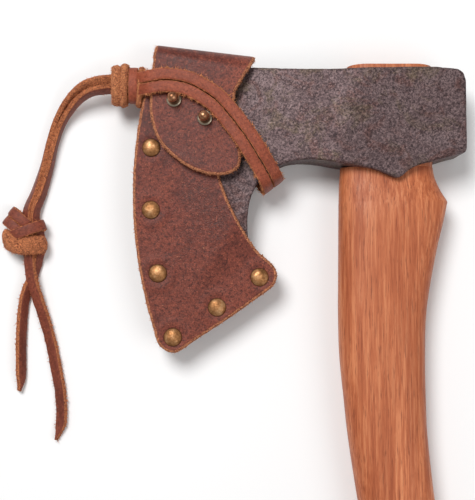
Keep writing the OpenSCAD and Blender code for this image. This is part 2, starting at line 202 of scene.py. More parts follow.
def thong(points, normals, width=5.4, thick=2.4, steps=5, closed=False, flesh_out=False, seed=0.0,
          tip=0.0, crown=0.12, corner=0.55):
    """Flat strip along points. Its grain side faces normals, or its flesh side where flesh_out."""
    p = spline(points, steps, closed)
    n = unit(spline(unit(normals), steps, closed))
    t = unit(np.roll(p, -1, 0) - np.roll(p, 1, 0) if closed else np.gradient(p, axis=0))
    w = unit(np.cross(n, t))
    n = np.cross(t, w)
    a, b, r = width / 2, thick / 2, corner
    arc = [(r * math.sin(q), r * math.cos(q)) for q in np.radians([0, 30, 60, 90])]
    fade = [0.0, 0.35, 0.85, 1.0]
    profile = [(u, b + crown * (1 - (u / a) ** 2)) for u in np.linspace(-a + r, a - r, 7)[:-1]]
    profile += [(a - r + x, b - r + y) for x, y in arc] + [(a + 0.04, 0.0)]
    profile += [(a - r + x, -b + r - y) for x, y in reversed(arc)]
    profile += [(u, -b) for u in np.linspace(a - r, -a + r, 5)[1:-1]]
    profile += [(-a + r - x, -b + r - y) for x, y in arc] + [(-a - 0.04, 0.0)]
    profile += [(-a + r - x, b - r + y) for x, y in reversed(arc)]
    cut = [0.0] * 6 + fade + [1.0] * 13 + fade[::-1]
    profile, cut = np.array(profile[:-1]), np.array(cut[:-1])
    if flesh_out:
        cut = np.where(profile[:, 1] > -b + 0.01, 1.0, 0.0)
    m, rings = len(profile), len(p)
    s = lengths(p)
    narrow = 1 - 0.86 * smooth(s[-1] - tip, s[-1] + 0.3, s) if tip else np.ones(rings)
    wave = noisy(np.stack([s, np.full(rings, seed), s * 0], 1), 9, seed) * 0.12
    side = profile[:, 0]
    over = side[None, :, None] * narrow[:, None, None] + wave[:, None, None]
    v = (p[:, None] + w[:, None] * over + n[:, None] * profile[None, :, 1, None]).reshape(-1, 3)
    run = np.stack([np.repeat(s, m), np.tile(profile[:, 0], rings),
                    np.tile(profile[:, 1], rings)], 1) + [seed * 31, 0, 0]
    rough = noisy(run, 0.9, seed)
    full_cut = np.tile(cut, rings)
    push = unit(w[:, None] * side[None, :, None] + n[:, None] * profile[None, :, 1, None])
    v = v + push.reshape(-1, 3) * (rough * (0.03 + 0.3 * full_cut))[:, None]
    faces = strips(rings, m, closed)
    if not closed:
        faces += [tuple(range(m)), tuple(range((rings - 1) * m, rings * m))]
        full_cut[:m] = full_cut[-m:] = 1
    made = shell(v, faces, full_cut, run)
    made["frame"] = (p, t, w, n, s, narrow, a, b)
    return made


def hairs(base, way, length, rng, radius=0.13, curl=0.45):
    """Loose fibres of leather: thin curved tubes that come to a point."""
    base, way, length = np.asarray(base), unit(way), np.asarray(length)[:, None]
    k = len(base)
    a = unit(np.cross(way, rng.normal(size=(k, 3))))
    b = np.cross(way, a)
    bend = rng.normal(size=(k, 3)) * length * curl
    root = base - way * 0.25
    middle = base + way * length * 0.5 + bend * 0.2
    end = base + way * length + bend * 0.8
    v = np.zeros((k, 7, 3))
    for j, q in enumerate((0, 2.0944, 4.18879)):
        spoke = a * math.cos(q) + b * math.sin(q)
        v[:, j] = root + spoke * radius
        v[:, 3 + j] = middle + spoke * radius * 0.75
    v[:, 6] = end
    pattern = [(0, 2, 1), (0, 1, 4, 3), (1, 2, 5, 4), (2, 0, 3, 5), (3, 4, 6), (4, 5, 6), (5, 3, 6)]
    faces = [tuple(7 * i + q for q in f) for i in range(k) for f in pattern]
    return shell(v.reshape(-1, 3), faces, np.full(7 * k, 1.6))


def lace_fuzz(made, rng, per_mm, sides, longest, flesh=0.0):
    """Hairs along a thong's cut edges, and on its flesh side where flesh is above 0."""
    p, t, w, n, s, narrow, a, b = made["frame"]
    out = []
    for side in sides:
        k = int(s[-1] * per_mm)
        at = rng.uniform(0, s[-1], k)
        i = np.searchsorted(s, at)
        up = rng.uniform(-b, b * 0.8, k)
        base = p[i] + w[i] * (side * a * narrow[i])[:, None] + n[i] * up[:, None]
        base += t[i] * rng.uniform(-0.4, 0.4, k)[:, None]
        way = (w[i] * side + t[i] * rng.normal(0, 0.6, k)[:, None]
               + n[i] * rng.normal(0, 0.4, k)[:, None])
        out.append(hairs(base, way, rng.gamma(2.0, longest / 5, k).clip(0.2, longest), rng))
    if flesh:
        k = int(s[-1] * flesh)
        at = rng.uniform(0, s[-1], k)
        i = np.searchsorted(s, at)
        over = rng.uniform(-a * 0.9, a * 0.9, k)
        base = p[i] + w[i] * (over * narrow[i])[:, None] - n[i] * b
        way = (-n[i] * 0.6 + t[i] * rng.normal(0, 0.8, k)[:, None]
               + w[i] * rng.normal(0, 0.7, k)[:, None])
        out.append(hairs(base, way, rng.uniform(0.3, longest * 0.7, k), rng))
    return out


def tufts(made, rng, sides, per_mm=0.24):
    """Clumps of fibre that stand out from a thong's edges."""
    p, t, w, n, s, narrow, a, b = made["frame"]
    out = []
    for side in sides:
        for at in rng.uniform(0, s[-1], int(s[-1] * per_mm)):
            i = np.searchsorted(s, at)
            k = int(rng.integers(5, 12))
            base = p[i] + w[i] * (side * a * narrow[i]) + t[i] * rng.normal(0, 0.35, k)[:, None]
            base = base + n[i] * rng.uniform(-b, b, k)[:, None]
            way = (w[i] * side + t[i] * rng.normal(0, 0.7) + t[i] * rng.normal(0, 0.4, k)[:, None]
                   + n[i] * rng.normal(0, 0.3, k)[:, None])
            out.append(hairs(base, way, rng.uniform(0.5, 1.6, k), rng, 0.16))
    return out


def band(centre, along, high, ring, width, thick, flesh_out=False, seed=0.0, power=2.4, lean=0.0,
         hook=0.0, **shape):
    """Thong that closes round a bundle: ring is its outside size along two axes. It slants by
    lean, and hook draws one end of it along the bundle."""
    count = 16
    along, high = unit(along), unit(high)
    axis = np.cross(along, high)
    p, n = [], []
    for q in np.arange(count) * 2 * math.pi / count:
        c, d = math.cos(q), math.sin(q)
        x = (ring[0] - thick) / 2 * math.copysign(abs(c) ** (2 / power), c)
        y = (ring[1] - thick) / 2 * math.copysign(abs(d) ** (2 / power), d)
        slant = axis * (lean * c - hook * max(0, -c) ** 2)
        p.append(np.asarray(centre) + along * x + high * y + slant)
        n.append(along * c * ring[1] + high * d * ring[0])
    return thong(p, n, width, thick, 4, True, flesh_out, seed, **shape)


# The middle of the doubled lace round the head, each point with the way its grain side faces.
LOOP_ROUTE = np.array([
    (-126, 14.2, 15.6, 0, 0, 1), (-123.2, 14.1, 15.7, -0.2, 0, 1),
    (-119.8, 14, 18.9, -0.8, 0, 0.8), (-115.2, 14.1, 23.2, -0.4, 0, 1),
    (-108, 14.9, 24.6, -0.1, 0, 1), (-98.7, 13.6, 25.8, -0.1, 0, 1),
    (-91.3, 10.4, 26.4, -0.1, 0, 1), (-83.5, 4.9, 26.9, -0.1, 0, 1),
    (-76.7, -2.8, 27.2, -0.1, 0, 1), (-70.3, -11.3, 27.5, 0, 0, 1),
    (-65, -19.5, 27.3, 0.1, -0.1, 1), (-60.6, -26.8, 25.6, 0.2, -0.2, 1),
    (-57.6, -32.2, 22.8, 0.4, -0.5, 0.8), (-56.4, -34.2, 14, 0.6, -0.8, 0),
    (-58.4, -31.6, 4.4, 0.3, -0.4, -0.9), (-66, -18.4, 3.8, 0, 0, -1),
    (-76.6, -4.8, 4.9, 0, 0, -1), (-92, 7.4, 7.1, 0, 0, -1), (-106, 11.9, 7.9, 0, 0, -1),
    (-118.2, 12.6, 7.9, -0.1, 0, -1), (-122, 13.6, 11.6, -0.5, 0, -1),
    (-126, 14.2, 12.4, 0, 0, -1)], float)
# The middle of the two free strands, and then each strand by itself from the end knot to its tip.
FREE_ROUTE = [(-131, 14.25, 14), (-136.4, 14.3, 14), (-145, 12.7, 12.6), (-153, 7.6, 7.8),
              (-159.8, -1.4, 3.9), (-163.7, -12, 3.3), (-166.5, -24, 3.3), (-170.1, -36, 3.3),
              (-173.9, -47, 4.4)]
LONG_TAIL = [(-174.6, -58, 5.4), (-174.4, -68, 4.8), (-173.4, -78, 4.7), (-170.5, -88, 3.6),
             (-167.4, -98, 2), (-164.2, -110, 1.4), (-161.6, -123, 1.4), (-159.4, -136, 1.4),
             (-159.2, -148, 1.4), (-161.6, -157, 1.4)]
SHORT_TAIL = [(-169.8, -58, 2.8), (-170.4, -68, 2.5), (-173.3, -78, 2.4), (-176.7, -87, 2.5),
              (-178.2, -98, 2.5), (-178.7, -113, 2.5), (-178.6, -127, 2.4), (-179.7, -133, 2)]
LOOP_THONG = (5.4, 2.5)          # width and thickness of the lace round the head
FREE_THONG = (5.2, 2.6)          # width and thickness of the free strands
WRAP = 2.2                       # thickness of the lace in the knots


# The centre of the cutting edge's curve and of the sheath's curved edge, seen from above.
EDGE_CENTRE = np.array([91.3, -38.5])


# ---- materials

def srgb(r, g, b):
    def lin(c):
        c /= 255
        return c / 12.92 if c <= 0.04045 else ((c + 0.055) / 1.055) ** 2.4
    return (lin(r), lin(g), lin(b), 1.0)


class Paint:
    """One Principled material, with short names for its nodes. Colours are laid over one another
    in colour, and bumps in normal."""

    def __init__(self, name, place="object", **sockets):
        self.material = bpy.data.materials.new(name)
        self.material.use_nodes = True
        self.tree = self.material.node_tree
        self.shader = self.tree.nodes["Principled BSDF"]
        self.colour = self.normal = None
        for key, value in sockets.items():
            key = key.replace("_", " ").title().replace("Ior", "IOR")
            self.shader.inputs[key].default_value = value
        if place == "object":
            self.place = self.node("ShaderNodeTexCoord").outputs["Object"]
        else:
            self.place = self.read(place, "Vector")

    def node(self, kind, links=None, **props):
        made = self.tree.nodes.new(kind)
        for key, value in props.items():
            setattr(made, key, value)
        for key, value in (links or {}).items():
            self.put(made.inputs[key], value)
        return made

    def put(self, socket, value):
        if isinstance(value, bpy.types.NodeSocket):
            self.tree.links.new(value, socket)
        else:
            socket.default_value = value

    def read(self, name, output="Fac"):
        return self.node("ShaderNodeAttribute", attribute_name=name).outputs[output]

    def stretch(self, scale):
        return self.node("ShaderNodeMapping", {"Vector": self.place, "Scale": scale}).outputs[0]

    def noise(self, scale, detail=4.0, rough=0.55, place=None, twist=0.0):
        return self.node("ShaderNodeTexNoise", {"Vector": place or self.place, "Scale": scale,
                                                "Detail": detail, "Roughness": rough,
                                                "Distortion": twist}).outputs["Fac"]

    def ramp(self, fac, *stops):
        made = self.node("ShaderNodeValToRGB", {"Fac": fac})
        ramp = made.color_ramp
        while len(ramp.elements) < len(stops):
            ramp.elements.new(0.5)
        for element, (at, colour) in zip(ramp.elements, stops):
            element.position = at
            element.color = colour if isinstance(colour, tuple) else (colour, colour, colour, 1)
        return made.outputs["Color"]

    def mix(self, fac, a, b):
        return self.node("ShaderNodeMix", {0: fac, 6: a, 7: b}, data_type="RGBA").outputs[2]

    def sum(self, a, b, how="ADD"):
        return self.node("ShaderNodeMath", {0: a, 1: b}, operation=how).outputs[0]

    def lay(self, field, low, high, colour):
        """Lays a colour over the last one, as strongly as a ramp of the field says."""
        self.colour = self.mix(self.ramp(field, low, high), self.colour, colour)

    def bump(self, height, strength, distance):
        links = {"Height": height, "Strength": strength, "Distance": distance}
        if self.normal is not None:
            links["Normal"] = self.normal
        self.normal = self.node("ShaderNodeBump", links).outputs["Normal"]

    def finish(self, gloss):
        for key, value in (("Base Color", self.colour), ("Roughness", gloss),
                           ("Normal", self.normal)):
            self.put(self.shader.inputs[key], value)
        return self.material


def leather(name, shades, rough, cell=1000, fade=0.0):
    """Oiled leather: a grain side with fine creases and painted shade in them, and fibrous pale cut
    edges with painted highlight on raised fibres and hairs and painted shade between fibres. Its
    shades are dark, middle, light, fibre and the painted crease shade. It grows lighter by fade
    towards the sheath's tip."""
    dark, middle, light, fibre, crease_shade = (srgb(*c) for c in shades)
    p = Paint(name, "run", sheen_weight=0.02, sheen_roughness=0.5, specular_ior_level=0.22)
    clouds = p.noise(38, 7, 0.66, twist=0.4)
    p.colour = p.ramp(clouds, (0.3, dark), (0.5, middle), (0.72, light))
    down = p.node("ShaderNodeSeparateXYZ", {0: p.place}).outputs["Y"]
    down = p.node("ShaderNodeMapRange", {"Value": down, "From Min": -0.1, "From Max": -0.03,
                                         "To Min": fade, "To Max": 0.0}).outputs[0]
    p.colour = p.mix(down, p.colour, light)
    p.lay(p.noise(210, 5, 0.75, twist=1.0), (0.34, 0.7), (0.5, 0.0), dark)
    p.lay(p.noise(520, 4, 0.8), (0.5, 0.0), (0.62, 0.85), light)
    p.lay(p.noise(760, 3, 0.75), (0.38, 0.9), (0.5, 0.0), dark)
    creases = p.node("ShaderNodeTexVoronoi", {"Vector": p.place, "Scale": cell},
                     feature="DISTANCE_TO_EDGE").outputs["Distance"]
    # Painted shade: the creases are darkened towards the last of the shades.
    p.lay(creases, (0.0, 0.5), (0.14, 0.0), crease_shade)
    p.lay(p.noise(1000, 2, 0.6), (0.68, 0.0), (0.76, 0.5), fibre)
    cut = p.read("cut")
    ragged = p.sum(cut, p.sum(p.noise(900, 4, 0.8), 0.5, "SUBTRACT"))
    edge = p.ramp(ragged, (0.3, 0.0), (0.55, 1.0))
    strands = p.noise(760, 6, 0.85, twist=2.0)
    # Painted light on the cut edges: highlight on raised fibres and on hairs, and shade in the gaps
    # between fibres.
    fibre_highlight = tuple(min(1, c * 1.55) for c in fibre[:3]) + (1,)
    fibre_gap_shade = tuple((a + b) / 2 for a, b in zip(crease_shade, dark))
    fluff = p.ramp(strands, (0.36, fibre_gap_shade), (0.44, middle), (0.5, fibre), (0.6, fibre_highlight))
    p.colour = p.mix(edge, p.colour, fluff)
    # Painted highlight on the hairs.
    p.lay(p.sum(cut, 0.5, "MULTIPLY"), (0.6, 0.0), (0.75, 0.75), fibre_highlight)
    p.bump(creases, 0.45, 0.00024)
    p.bump(p.noise(1500, 4, 0.7), 0.35, 0.0003)
    p.bump(p.noise(230, 4, 0.6), 0.3, 0.0008)
    p.bump(p.mix(edge, (0.5, 0.5, 0.5, 1), strands), 1.0, 0.0011)
    gloss = p.ramp(clouds, (0.3, rough - 0.09), (0.7, rough + 0.08))
    return p.finish(p.mix(edge, gloss, (0.95, 0.95, 0.95, 1)))


def forged_steel():
    """Dark forge scale with a crinkled skin, partly its own speckle and partly painted shade in the
    hollows and painted highlight on raised points, brown and olive blotches, painted shade on the
    rounded arrises and a ground bevel along the cutting edge."""
    p = Paint("forged_steel", metallic=0.38, specular_ior_level=0.24)
    p.colour = p.ramp(p.noise(30, 7, 0.68, twist=0.9), (0.32, srgb(82, 64, 65)),
                      (0.47, srgb(98, 79, 80)), (0.62, srgb(112, 94, 95)))
    p.lay(p.noise(64, 6, 0.72, twist=1.2), (0.5, 0.0), (0.6, 0.75), srgb(94, 60, 54))
    p.lay(p.noise(46, 6, 0.72, twist=0.8), (0.51, 0.0), (0.61, 0.75), srgb(94, 80, 60))
    crinkle = p.noise(720, 3, 0.6, twist=1.6)
    grain = p.noise(900, 4, 0.8)
    # Partly the scale's own speckle and partly painted light: dark specks in the hollows are
    # painted shade, and light specks on the raised points are painted highlight.
    for skin, shine in ((crinkle, 0.4), (grain, 0.35)):
        p.lay(skin, (0.38, 0.85), (0.5, 0.0), srgb(46, 34, 36))
        p.lay(skin, (0.53, 0.0), (0.64, shine), srgb(148, 126, 124))
    # Painted shade on the rounded arrises, read from the cut mask.
    p.lay(p.read("cut"), (0.15, 0.0), (0.8, 0.65), srgb(42, 33, 35))
    p.bump(p.noise(130, 4, 0.6), 0.2, 0.001)
    p.bump(crinkle, 0.4, 0.0003)
    p.bump(grain, 0.3, 0.0002)
    gloss = p.ramp(p.noise(140, 5, 0.7), (0.3, 0.44), (0.7, 0.62))
    centre = (EDGE_CENTRE[0] * MM, EDGE_CENTRE[1] * MM, MID * MM)
    reach = p.node("ShaderNodeVectorMath", {0: p.place, 1: centre}, operation="DISTANCE")
    ground = p.ramp(reach.outputs["Value"], (0.1986, 0.0), (0.1993, 1.0))
    p.colour = p.mix(ground, p.colour, srgb(176, 170, 166))
    return p.finish(p.mix(ground, gloss, (0.3, 0.3, 0.3, 1.0)))


def handle_wood(name, shades):
    """Open-pored wood with fine, slightly wavy lines along Y. Its shades are dark, middle, light
    and pore."""
    dark, middle, light, pore = (srgb(*c) for c in shades)
    p = Paint(name, coat_weight=0.04, coat_roughness=0.4, specular_ior_level=0.3)
    slow = p.noise(24, 5, 0.6, p.stretch((1.0, 0.2, 1.0)), 0.5)
    bands = p.noise(170, 5, 0.65, p.stretch((1.0, 0.045, 0.7)), 0.5)
    lines = p.noise(860, 5, 0.7, p.stretch((1.0, 0.035, 1.0)), 0.3)
    p.colour = p.ramp(lines, (0.34, dark), (0.48, middle), (0.62, light))
    p.lay(bands, (0.34, 0.6), (0.56, 0.0), dark)
    p.lay(bands, (0.5, 0.0), (0.74, 0.45), light)
    p.lay(slow, (0.34, 0.4), (0.6, 0.0), dark)
    pores = p.noise(1700, 3, 0.6, p.stretch((1.0, 0.06, 1.0)), 0.2)
    holes = p.ramp(pores, (0.33, 1.0), (0.44, 0.0))
    p.colour = p.mix(p.sum(holes, 0.6, "MULTIPLY"), p.colour, pore)
    p.bump(holes, -0.5, 0.0003)
    p.bump(lines, 0.35, 0.0004)
    p.bump(p.noise(90, 3, 0.5), 0.1, 0.0008)
    return p.finish(p.ramp(lines, (0.3, 0.6), (0.7, 0.42)))


def brass(name, shades, rough, plate=None):
    """Worn brass: cut is 0 on open metal, up to 1 where painted shade darkens rims, necks and
    undersides, and 2 on plated parts. Its shades are dark, middle and light."""
    dark, middle, light = (srgb(*c) for c in shades)
    p = Paint(name, metallic=0.9)
    p.colour = p.ramp(p.noise(300, 5, 0.7), (0.34, dark), (0.5, middle), (0.66, light))
    p.lay(p.noise(900, 4, 0.7), (0.32, 0.6), (0.44, 0.0), dark)
    place = p.sum(p.read("cut"), 0.5, "MULTIPLY")
    # Painted shade on rims, necks and undersides.
    p.lay(place, (0.1, 0.0), (0.45, 0.8), tuple(c * 0.35 for c in dark[:3]) + (1,))
    if plate:
        p.lay(place, (0.6, 0.0), (0.9, 1.0), plate)
    p.bump(p.noise(420, 3, 0.6), 0.3, 0.0006)
    p.bump(p.noise(2200, 2, 0.6), 0.15, 0.0001)
    return p.finish(p.ramp(p.noise(700, 4, 0.7), (0.3, rough - 0.08), (0.7, rough + 0.18)))


SHEATH = leather("sheath_leather", ((74, 35, 29), (112, 54, 44), (146, 76, 58), (198, 130, 92),
                                    (46, 22, 18)), 0.46, fade=0.5)
WELT_SKIN = leather("welt_leather", ((92, 50, 34), (124, 70, 46), (146, 86, 58), (180, 112, 74),
                                     (66, 34, 26)), 0.6)
LACE = leather("lace_leather", ((120, 58, 40), (146, 72, 50), (168, 88, 62), (196, 126, 84),
                                (84, 40, 26)), 0.5, 1300)
# A darker copy of the lace's leather, which paints shade on the free strands and the end knot.
LACE_SHADED = leather("lace_shaded_leather", ((100, 48, 36), (128, 64, 48), (152, 80, 58),
                                          (196, 122, 80), (74, 34, 24)), 0.5, 1300)
STEEL = forged_steel()
WOOD = handle_wood("handle_wood", ((154, 78, 46), (190, 106, 66), (217, 138, 94), (112, 52, 30)))
WEDGE = handle_wood("wedge_wood", ((146, 92, 56), (182, 126, 82), (204, 150, 104), (92, 54, 36)))
BRASS = brass("rivet_brass", ((124, 84, 50), (174, 123, 80), (206, 162, 118)), 0.46)
STUD = brass("stud_brass", ((112, 74, 52), (176, 124, 90), (214, 166, 130)), 0.3,
             srgb(166, 152, 132))


# ---- the lace

def loop_strand(name, shift, node, seed):
    """One of the two strands round the head, shift to the side of their middle."""
    centre, normal = LOOP_ROUTE[:, :3], unit(LOOP_ROUTE[:, 3:])
    t = np.gradient(centre, axis=0)
    w = unit(np.cross(normal, t))
    n = unit(np.cross(t, w))
    rng = np.random.default_rng(int(seed * 10))
    made = thong(centre + w * shift, n, *LOOP_THONG, 8, seed=seed)
    free = (math.copysign(1, shift),)
    parts = [made] + lace_fuzz(made, rng, 3.4, free, 1.2) + tufts(made, rng, free)
    return piece(name, merged(parts), LACE, [node], "sheath")


loop_strand("loop_upper", 2.95, "lace_loop_upper", 1.0)
loop_strand("loop_lower", -2.95, "lace_loop_lower", 2.0)


def free_strand(name, side, tail, tail_normal, nodes, seed, rolls, spread):
    """One thong from the slide knot through the end knot to its tip. It is turned by rolls from
    lying grain side up, and stands spread from the middle of the pair."""
    route = np.array(FREE_ROUTE, float)
    t = unit(np.gradient(route, axis=0))
    w = unit(np.cross([0, 0, 1], t))
    up = np.cross(t, w)
    points = np.vstack([route + w * side * np.array(spread)[:, None], tail])
    turn = np.radians(rolls)
    out = w * side * np.sin(turn)[:, None] + up * np.cos(turn)[:, None]
    normals = np.vstack([unit(out)] + [tail_normal] * len(tail))
    made = thong(points, normals, *FREE_THONG, 6, seed=seed, tip=9)
    rng = np.random.default_rng(int(seed * 10))
    parts = [made] + lace_fuzz(made, rng, 5.0, (-1, 1), 1.3, 1.6)
    # The free strands take the painted-shade copy of the lace's leather.
    obj = piece(name, merged(parts), LACE_SHADED, nodes, "sheath")
    return obj, spline(points, 3)


long_strand = free_strand(
    "strand_long", -1, LONG_TAIL, (-0.42, 0, 0.9), ["lace_strand_left", "lace_tail_long"], 3.0,
    (142, 142, 130, 110, 92, 82, 74, 62, 50), (2.2, 2.3, 2.2, 1.9, 1.6, 1.5, 1.6, 1.8, 1.9))
short_strand = free_strand(
    "strand_short", 1, SHORT_TAIL, (0.78, 0, 0.62), ["lace_strand_right", "lace_tail_short"], 4.0,
    (60, 60, 66, 74, 80, 82, 76, 66, 56), (2.0, 2.0, 1.8, 1.6, 1.45, 1.45, 1.55, 1.75, 1.9))


def knot_piece(name, turns, fuzz, longest, seed, material, node, body):
    """The turns of a knot, each with its own number of hairs to a millimetre."""
    rng = np.random.default_rng(seed)
    parts = list(turns)
    for made, per_mm in zip(turns, fuzz):
        parts += lace_fuzz(made, rng, per_mm, (-1, 1), longest)
    return piece(name, merged(parts), material, [node], body)


def slide_knot():
    """Flesh-side collar of two turns, a smooth band, and a turn on edge at the sheath."""
    def turn(x, y, ring, width, thick, flesh, seed, **shape):
        return band((x, y, MID), (0, 1, 0), (0, 0, 1), ring, width, thick, flesh, seed, **shape)
    turns = [turn(-131.1, 14.0, (19.0, 14.4), 4.3, 2.3, True, 5.0, crown=0.35, corner=0.8),
             turn(-127.5, 14.1, (20.4, 14.8), 3.5, 2.3, True, 6.0, crown=0.4, corner=0.8, lean=0.5),
             turn(-123.1, 14.0, (17.2, 12.4), 4.6, WRAP, False, 7.0),
             turn(-119.7, 13.2, (19.6, 13.0), 2.3, 2.4, True, 8.0, lean=0.7)]
    knot_piece("slide_knot_wraps", turns, (5.0, 5.0, 2.0, 5.0), 1.1, 50, LACE, "lace_slide_knot",
               "slide_knot")


def end_knot():
    """Two smooth turns that cross over a broad flesh-side turn."""
    def turn(length, height, at, angle, width, flesh, seed, low=0.0, **shape):
        a = math.radians(angle)
        along = (math.cos(a), math.sin(a), 0)
        centre = (-176.8 + at[0], -54.2 + at[1], height / 2 + low)
        return band(centre, along, (0, 0, 1), (length, height), width, WRAP, flesh, seed, 2.2,
                    **shape)
    turns = [turn(20.0, 10.2, (0.3, -8.4), 3, 8.4, True, 9.0, crown=0.9, corner=1.0, hook=4.5),
             turn(18.6, 10.6, (1.5, -1.2), 20, 5.2, False, 10.0, 0.6),
             turn(14.6, 9.6, (-3.8, 0.2), -40, 4.8, False, 11.0),
             turn(15.4, 10.0, (-0.8, 4.2), -40, 4.8, False, 12.0)]
    # The end knot takes the painted-shade copy of the lace's leather.
    return knot_piece("end_knot_turns", turns, (6.0, 1.4, 1.4, 1.4), 1.2, 60, LACE_SHADED,
                      "lace_end_knot", "sheath")


slide_knot()
knot = end_knot()


# ---- the sheath's surfaces

EDGE_R = 203.0                   # radius of the cutting edge
SHEATH_R = 214.5                 # radius of the sheath's curved edge
ARC_LOW = -104.0                 # Y at which that edge ends, above the sheath's tip
FRONT_TOP = 20.5                 # Y of the front panel's upper edge
SEAM = np.array([-96.1, -109.6])           # a point of the lower seam, and its angle from X
SEAM_ANGLE = math.radians(33.7)
SEAM_WIDTH = 15.9
# Half the blade's thickness by distance from the edge's centre, and by distance above the seam.
TAPER = np.array([[100, 14], [118, 14], [123, 13.2], [140, 9.4], [155, 6.3], [170, 4], [190, 1.6],
                  [199, 1.05], [EDGE_R, 0], [204, -3]], float)
BEARD = np.array([[-20, 0.9], [16, 1.1], [34, 4.6], [46, 9], [58, 14], [230, 14]], float)
RIVETS = [(-114.4, -16.4), (-114.6, -46.1), (-111.3, -76.3), (-104.2, -106.6), (-83.2, -92.5),
          (-63, -78.3)]
STACK = WELT / 2 + LEATHER       # half the thickness of the riveted layers


def edge_arc(r, y0, y1, n=24):
    y = np.linspace(y0, y1, n) - EDGE_CENTRE[1]
    return np.stack([EDGE_CENTRE[0] - np.sqrt(r * r - y * y), y + EDGE_CENTRE[1]], 1)


def pocket(x, y):
    """Half the width of the space between the panels, with soft changes of slope."""
    x, y = np.asarray(x, float), np.asarray(y, float)
    reach = 2.6
    around = [(x, y)] + [(x + reach * math.cos(q), y + reach * math.sin(q))
                         for q in np.arange(6) * math.pi / 3]
    return sum(pocket_at(*q) for q in around) / len(around) + 0.04


def pocket_at(x, y):
    r = np.hypot(x - EDGE_CENTRE[0], y - EDGE_CENTRE[1])
    disc = np.interp(r, TAPER[:, 0], TAPER[:, 1])
    across = -math.sin(SEAM_ANGLE) * (x - SEAM[0]) + math.cos(SEAM_ANGLE) * (y - SEAM[1])
    bar = np.interp(across, BEARD[:, 0], BEARD[:, 1])
    return soft_max(np.minimum(disc, bar) + GAP, np.full_like(disc, WELT / 2), 0.3)


def press(x, y):
    """The leather dips under each cap and swells a little round it."""
    out = np.zeros_like(x)
    for k, (rx, ry) in enumerate(RIVETS):
        d = np.hypot(x - rx, y - ry)
        out += (0.1 if k == 0 else 0.25) * np.exp(-((d - 7) / 2) ** 2) - 0.14 * smooth(5.4, 4.2, d)
    return out


SHEATH_TIP = [(-113, -104.4), (-111.2, -109.6), (-108, -112.8), (-103.2, -114), (-98.8, -111.8),
              (-94, -108.4), (-77, -97.3), (-60.6, -85.7), (-56.8, -82.8), (-54.7, -78.6),
              (-55.6, -73.8), (-59.2, -70)]
FRONT_INNER = [(-64.4, -65.2), (-70.8, -55.6), (-76.1, -45.6), (-79.2, -38.5), (-82.6, -28),
               (-87, -13), (-91, 2), (-95, 14)]
BACK_INNER = FRONT_INNER[:3] + [(-77.6, -30), (-76, -12), (-73, 4)]
FOLD_START = np.array([-113.2, 27.6])
FOLD_END = np.array([-69.6, 18.05])


def level(height):
    return lambda x, y: np.full_like(x, height)


def middle_of(a, b):
    return lambda x, y: (a(x, y) + b(x, y)) / 2


def slab(outline, outer, inner, spacing=1.1, raw=None, wall_cut=1.0, ragged=0.16, seed=0.0):
    """Leather between two height fields over an outline, with rounded and slightly ragged edges.
    raw(points) is 1 where the edge is a free cut edge, and 0 where it meets other leather."""
    line = evenly(outline, spacing)
    if np.sum(line[:, 0] * np.roll(line[:, 1], -1) - np.roll(line[:, 0], -1) * line[:, 1]) < 0:
        line = line[::-1]
    t = unit(np.roll(line, -1, 0) - np.roll(line, 1, 0))
    inward = np.stack([-t[:, 1], t[:, 0]], 1)
    free = np.ones(len(line)) if raw is None else raw(line)
    three = np.column_stack([line, np.zeros(len(line))])
    wob = (noisy(three, 2.2, seed) + 0.6 * noisy(three, 0.9, seed + 3)) * ragged * free
    # Each ring of the rounded edge: how far in, how far below the face, and how much it is cut.
    offsets = (0.0, 0.2, 0.55, 1.05, 1.6)
    drops = (0.95, 0.5, 0.18, 0.04, 0.0)
    cuts = (1.0, 1.0, 1.0, 0.55, 0.0)
    m = len(line)
    rings = [line + inward * (d + wob[:, None] * (1 - k / 5)) for k, d in enumerate(offsets)]
    lo, hi = line.min(0), line.max(0)
    step = spacing * 1.15
    gx, gy = np.meshgrid(np.arange(lo[0], hi[0], step), np.arange(lo[1], hi[1], step * 0.866))
    gx = gx + (np.arange(gx.shape[0]) % 2)[:, None] * step / 2
    grid = np.stack([gx.ravel(), gy.ravel()], 1)
    last = rings[-1]
    grid = grid[inside(grid, last)]
    grid = grid[distance_to(grid, last) > step * 0.55]
    flat = np.vstack([last, grid])
    cdt = geometry.delaunay_2d_cdt([Vector(q) for q in flat], [], [list(range(m))], 1, 1e-6, True)
    flat = np.array([tuple(q) for q in cdt[0]])
    origin = {}
    for new, old in enumerate(cdt[3]):
        for o in old:
            origin[o] = new
    tris = np.array([tuple(f) for f in cdt[2]])
    tris = [tuple(f) for f in tris[inside(flat[tris].mean(1), last)].tolist()]
    order = [origin[i] for i in range(m)]
    v, cut, faces = [], [], []

    def lay(points, height, c):
        base = sum(len(q) for q in v)
        v.append(np.column_stack([points, height]))
        cut.append(np.broadcast_to(c, (len(points),)).astype(float))
        return base

    first = flat[:1].T
    up = 1 if outer(*first)[0] > inner(*first)[0] else -1
    for sign, field, back in ((up, outer, 0.0), (-up, inner, 1.0)):
        base = lay(flat, field(*flat.T), back)
        faces += [tuple(base + i for i in f) for f in tris]
        ids = [base + i for i in order]
        for k in (3, 2, 1, 0):
            pts = rings[k]
            start = lay(pts, field(*pts.T) - sign * (drops[k] * free),
                        np.maximum(back, cuts[k] * free))
            new = list(range(start, start + m))
            faces += [(ids[i], ids[(i + 1) % m], new[(i + 1) % m], new[i]) for i in range(m)]
            ids = new
        if field is outer:
            top = ids
    pts = rings[0] - inward * (0.06 * free)[:, None]
    start = lay(pts, middle_of(outer, inner)(*pts.T), wall_cut)
    middle = list(range(start, start + m))
    for i in range(m):
        j = (i + 1) % m
        faces += [(top[i], top[j], middle[j], middle[i]), (middle[i], middle[j], ids[j], ids[i])]
    return shell(np.vstack(v), faces, np.concatenate(cut)), rings[0], inward, free


